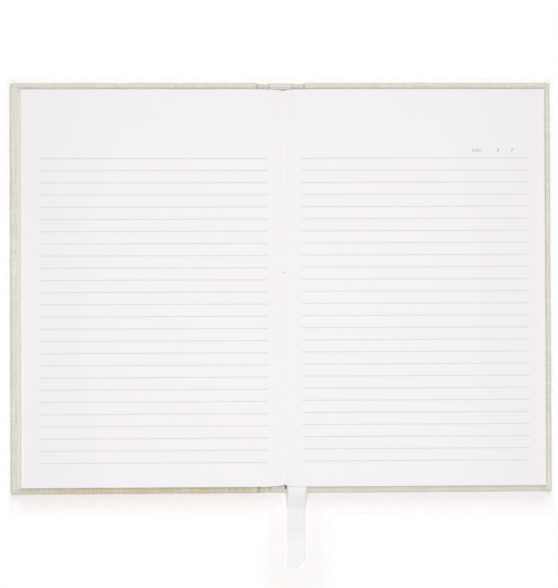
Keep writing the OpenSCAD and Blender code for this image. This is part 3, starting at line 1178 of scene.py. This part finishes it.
def make_ribbon():
    """One length of ribbon: held in the leaves, out over the tail band and down to the table."""
    line = ribbon_line()
    across_steps = 14
    points = []
    flat = []
    run = 0.0
    before = None
    for y, height in line:
        outside = ease(-y, 105.0, 110.0)
        on_table = ease(-y, 112.0, 119.0)
        mid_z = RIBBON_OUT_Z if height is None else height
        if before is not None:
            run += math.dist(before, (y, mid_z))
        before = (y, mid_z)
        from_end = y - RIBBON_END_Y
        width = RIBBON_W - 0.5 * ease(-y, 112.0, 124.0)
        shift = -0.45 * ease(-y, 104.0, 124.0) + 0.12 * math.sin(from_end * 0.11) * on_table
        trim_from = RIBBON_X + RIBBON_W + shift - 0.35 - TRIM_W
        for i in range(across_steps + 1):
            a = i / across_steps - 0.5
            x = RIBBON_X + RIBBON_W / 2 + shift + a * width
            valley = VALLEY_DEPTH * math.exp(-(x - GUTTER_X) / VALLEY_W)
            in_leaves = STACK_Z + RIBBON_SHARE * (STACK_T - valley)
            # Raised along its middle: a little on the table, more where it bends over the tail band
            rounded = 1.0 - 4.0 * a * a
            crown = 0.22 * rounded * (0.4 + 0.6 * math.sin(from_end * 0.16) ** 2)
            bow = 0.35 * rounded * math.exp(-(((y + 112.5) / 3.5) ** 2))
            if y < FALL_FROM_Y:
                z = mid_z + (in_leaves - RIBBON_OUT_Z) * (1.0 - ease(-y, -FALL_FROM_Y, 112.0))
            else:
                z = in_leaves * (1.0 - outside) + mid_z * outside
            # The loose end is cut off round at its right-hand corner
            y_here = y
            if y < TRIM_FROM_Y:
                cut = RIBBON_END_Y + TRIM_H * max(0.0, (x - trim_from) / TRIM_W) ** 1.3
                share = (y - TRIM_FROM_Y) / (RIBBON_END_Y - TRIM_FROM_Y)
                y_here = TRIM_FROM_Y + share * (cut - TRIM_FROM_Y)
            points.append((x, y_here, z + crown * on_table + bow))
            flat.append((a * width, -run))
    faces = []
    for j in range(len(line) - 1):
        for i in range(across_steps):
            p = j * (across_steps + 1) + i
            q = p + across_steps + 1
            faces.append((p, q, q + 1, p + 1))
    ribbon = mesh_piece("satin_ribbon", points, faces, [satin()])
    layer = ribbon.data.uv_layers.new(name="ribbon")
    loops = [flat[v] for face in faces for v in face]
    layer.data.foreach_set("uv", [c * MM for pair in loops for c in pair])
    thicken(ribbon, RIBBON_T, 0.0)
    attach(ribbon, "book_block")
    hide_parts("ribbon_marker")


# Boards, endpapers and lining


def greyboard():
    """Pressed board made of pulp flecks."""
    f = Finish("greyboard")
    place = f.place()
    pulp = f.noise(place, 900.0, 4.0, 0.65)
    fleck = f.noise(place, 2400.0, 2.0).ramp(0.6, 0.72)
    grey = f.mix(pulp, rgb(150, 146, 137), rgb(172, 168, 158))
    return f.surface(
        Base_Color=f.mix(fleck * 0.5, grey, rgb(120, 112, 100)),
        Roughness=0.9,
        Specular_IOR_Level=0.2,
        Normal=f.bump(pulp, 0.00008, 0.6),
    )


def kraft():
    """Brown paper with long fibres."""
    f = Finish("lining_kraft")
    place = f.place()
    across, along, up = f.axes(place)
    fibre = f.noise(f.vector(across * 2600.0, along * 300.0, up * 900.0), 1.0, 4.0, 0.6)
    cloud = f.noise(place, 90.0, 2.0)
    brown = f.mix(cloud, rgb(188, 168, 134), rgb(204, 186, 152))
    return f.surface(
        Base_Color=f.shade(brown, 0.9 + fibre * 0.2),
        Roughness=0.8 + fibre * 0.1,
        Specular_IOR_Level=0.3,
        Normal=f.bump(fibre, 0.00003, 0.6),
    )


def endpaper():
    """Plain off-white endpaper, pasted down over the turned-in cloth, browner at its margin and with painted
    shade in the groove.
    """
    f = Finish("endpaper")
    place = f.place()
    from_middle = abs(f.axes(place)[0])
    fibre = f.noise(place, 2200.0, 4.0, 0.6)
    cloud = f.noise(place, 30.0, 3.0, 0.6)
    paste = f.noise(place, 240.0, 2.0)
    tone = f.mix(cloud, rgb(238, 236, 229), rgb(242, 240, 235))
    margin = from_middle.ramp(0.1378, 0.1386) * 0.85
    # Darker in the groove, mottled by the paste: painted shade
    painted_groove_shade = (1.0 - from_middle.ramp(0.0116, 0.0136)) * (0.5 + paste * 0.4)
    toned = f.mix(margin.most(painted_groove_shade), tone, rgb(229.0, 225.0, 214.0))
    return f.surface(
        Base_Color=f.shade(toned, 0.985 + fibre * 0.02),
        Roughness=0.82 + fibre * 0.1,
        Specular_IOR_Level=0.25,
        Normal=f.bump(fibre * 0.4 + paste, 0.00005, 0.5),
    )


def make_endpaper(name, side, paper):
    """The endpaper of one cover, from the groove up over the board and the turned-in cloth."""
    into_groove = [9.6, 10.2, 10.8, 11.2, 11.5, 11.7, 11.9, 12.1, 12.3, 12.5, 12.7, 12.9, 13.2, 13.8]
    over_board = [15.0 + 8.0 * k for k in range(15)]
    onto_fold = [127.6, 128.0, 128.4, 128.8, 129.2, 131.0, 134.5, 137.5, 139.3, LEAF_REACH]
    columns = into_groove + over_board + onto_fold
    end_rows = [PASTE_END_Y, 103.5, 100.0, 96.5, 94.6, 94.2, 93.8, 93.4, 93.0, 91.0]
    rows = end_rows + [84.0 - 8.0 * k for k in range(22)] + [-y for y in end_rows[::-1]]
    points = []
    for x in columns:
        for y in rows:
            fold = max(ease(abs(y), *FOLD_STEP_Y), ease(x, *FOLD_STEP_X))
            climb = ease(x, 11.5 - 0.3 * fold, 12.9 - 0.2 * fold)
            height = PASTE_GROOVE_Z + PASTE_BOARD_RISE * climb + PASTE_FOLD_RISE * fold + PASTE_T
            ripple = 0.02 * math.sin(x * 0.11 + y * 0.07) * math.sin(y * 0.13) * ease(x, 14.0, 20.0)
            at_corner = ease(abs(y), 103.5, PASTE_END_Y) + ease(x, 138.5, LEAF_REACH) - 1.0
            corner = 0.5 * max(0.0, at_corner)
            points.append((side * (x - corner), y - math.copysign(corner, y), height - abs(ripple)))
    tall = len(rows)
    faces = []
    for i in range(len(columns) - 1):
        for j in range(tall - 1):
            a = i * tall + j
            loop = (a, a + 1, a + tall + 1, a + tall)
            faces.append(loop[::-1] if side > 0 else loop)
    sheet = mesh_piece(name, points, faces, [paper])
    thicken(sheet, PASTE_T, -1.0)
    return sheet


def make_endpapers():
    """Both endpapers."""
    paper = endpaper()
    for name, side in (("front", -1.0), ("back", 1.0)):
        sheet = make_endpaper("endpaper_" + name, side, paper)
        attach(sheet, name + "_cover")
        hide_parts(name + "_pastedown")


def finish_case_parts():
    """Gives the CAD pieces inside the case their materials."""
    board = greyboard()
    brown = kraft()
    for name, material in (
        ("front_board", board),
        ("back_board", board),
        ("spine_board", board),
        ("spine_lining", brown),
    ):
        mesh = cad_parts[name].data
        mesh.materials.clear()
        mesh.materials.append(material)


# Studio

OVERHEAD_LEVEL = 0.70
HEAD_SIDE_LEVEL = 0.19
TAIL_SIDE_LEVEL = 0.08
AMBIENT = 0.12
FROM_BELOW = 0.9
FLOOR_DEPTH = 0.03
FLOOR_REACH = 1500.0

# The floor's shadow fades out between these distances past the tail, in metres, and sooner elsewhere.
FADE = (0.004, 0.017)
SIDES_SOONER = 5.0
HEAD_SOONER = 3.5


def seen_directly(graph):
    """1 for rays from the camera, a reflection or through glass, and 0 for the light itself."""
    ray = graph.node("ShaderNodeLightPath", None, None, "Is Camera Ray")
    return (ray + ray.of("Is Glossy Ray") + ray.of("Is Transmission Ray")).least(1.0)


def make_world():
    """A white surround that gives only a little of the light, and more of it below the table."""
    world = bpy.data.worlds.new("studio")
    scene.world = world
    world.use_nodes = True
    world.node_tree.nodes.clear()
    g = Graph(world.node_tree)
    direction = g.node("ShaderNodeTexCoord", None, None, "Generated")
    height = g.node("ShaderNodeSeparateXYZ", None, {"Vector": direction}).of("Z")
    below = height.below(-0.02)
    given = AMBIENT + below * (FROM_BELOW - AMBIENT)
    seen = seen_directly(g)
    strength = given + seen * (1.0 - given)
    sky = g.node("ShaderNodeBackground", None, {"Color": WHITE, "Strength": strength})
    g.node("ShaderNodeOutputWorld", None, {"Surface": sky})


def make_floor():
    """A pale floor that keeps the notebook's shadow and gives way to the white surround away from it.

    It is open from below, and where the notebook covers it, so that the underside and the covers
    swung down past the table still show and get light.
    """
    f = Finish("pale_floor")
    place = f.place()
    across, along = f.axes(place)[:2]

    def past(x, half_w, y, half_h):
        """How far the floor's point lies outside a rectangle; below 0 inside it."""
        return (abs(across - x) - half_w).most(abs(along - y) - half_h)

    side_edge = 0.143
    end_edge = 0.108
    past_sides = (abs(across) - side_edge) * SIDES_SOONER
    past_head = (along - end_edge) * HEAD_SOONER
    past_case = past_sides.most(-along - end_edge).most(past_head)
    beyond = past_case.least(past(0.0075, 0.005, -0.13, 0.02))
    mottle = f.noise(place, 12.0, 2.0)
    pale = f.mix(mottle, (0.945, 0.925, 0.915, 1.0), (0.96, 0.94, 0.93, 1.0))
    lit = f.node("ShaderNodeBsdfDiffuse", None, {"Color": pale})
    glow = f.node("ShaderNodeEmission", None, {"Color": WHITE, "Strength": 0.02})
    clear = f.node("ShaderNodeBsdfTransparent", None, {"Color": WHITE})
    lifted = f.node("ShaderNodeAddShader", None, {0: lit, 1: glow})
    faded = f.node("ShaderNodeMixShader", None, {0: beyond.ramp(*FADE), 1: lifted, 2: clear})
    shown = f.node("ShaderNodeMixShader", None, {0: seen_directly(f), 1: lit, 2: faded})
    past_corners = abs(across) + abs(along) - 0.2502
    under_case = past(0.0, side_edge, 0.0, 0.1082).most(past_corners).below(0.0)
    under_ribbon = past(0.0074, 0.0046, -0.1318, 0.0167).below(0.0)
    behind = f.node("ShaderNodeNewGeometry", None, None, "Backfacing")
    open_here = under_case.most(under_ribbon).most(behind)
    whole = f.node("ShaderNodeMixShader", None, {0: open_here, 1: shown, 2: clear})
    f.node("ShaderNodeOutputMaterial", None, {"Surface": whole})
    r = FLOOR_REACH
    corners = [(x, y, -FLOOR_DEPTH) for x, y in ((-r, -r), (r, -r), (r, r), (-r, r))]
    floor = mesh_piece("floor", corners, [(0, 1, 2, 3)], [f.material], smooth=False)


def make_lamp(name, level, place, wide, long):
    """A soft rectangular lamp that points at the notebook; level is the light that it gives there."""
    lamp = bpy.data.lights.new(name, "AREA")
    lamp.shape = "RECTANGLE"
    lamp.size = wide
    lamp.size_y = long
    spot = Vector(place)
    lamp.energy = level * math.pi ** 2 * spot.length_squared * spot.length / spot.z
    holder = bpy.data.objects.new(name, lamp)
    scene.collection.objects.link(holder)
    holder.location = spot
    holder.rotation_euler = Euler((-math.atan2(spot.y, spot.z), 0.0, 0.0))


def make_studio():
    """A pale floor under a large soft lamp, with a smaller one on the head side and a faint one opposite."""
    make_world()
    make_floor()
    make_lamp("overhead_lamp", OVERHEAD_LEVEL, (0.0, -0.05, 0.85), 0.5, 0.45)
    make_lamp("head_side_lamp", HEAD_SIDE_LEVEL, (0.0, 2.1, 1.95), 0.4, 1.5)
    make_lamp("tail_side_lamp", TAIL_SIDE_LEVEL, (0.0, -2.2, 1.5), 1.6, 0.8)


# Camera

VIEW_DISTANCE = 1200.0
PHOTO_H = 588
MM_PER_PIXEL = 0.5279
CAMERA_X = -42.85
CAMERA_Y = -20.5
CAMERA_TURN = (0.828, -1.966, -0.227)


def make_camera():
    """A long lens almost straight above the notebook, a little to its left."""
    data = bpy.data.cameras.new("camera")
    data.sensor_width = 36.0
    data.lens = data.sensor_width * VIEW_DISTANCE / (PHOTO_H * MM_PER_PIXEL)
    data.clip_start = 0.05
    data.clip_end = 20.0
    camera = bpy.data.objects.new("camera", data)
    scene.collection.objects.link(camera)
    camera.location = (CAMERA_X * MM, CAMERA_Y * MM, (PAGE_TOP + VIEW_DISTANCE) * MM)
    camera.rotation_euler = Euler([math.radians(a) for a in CAMERA_TURN])
    scene.camera = camera


make_camera()
make_studio()
paper = make_leaves()
make_section_folds(paper)
make_ruling()
make_date_field()
make_case()
make_bands()
make_stitches()
make_ribbon()
make_endpapers()
finish_case_parts()

scene.view_settings.view_transform = "Standard"
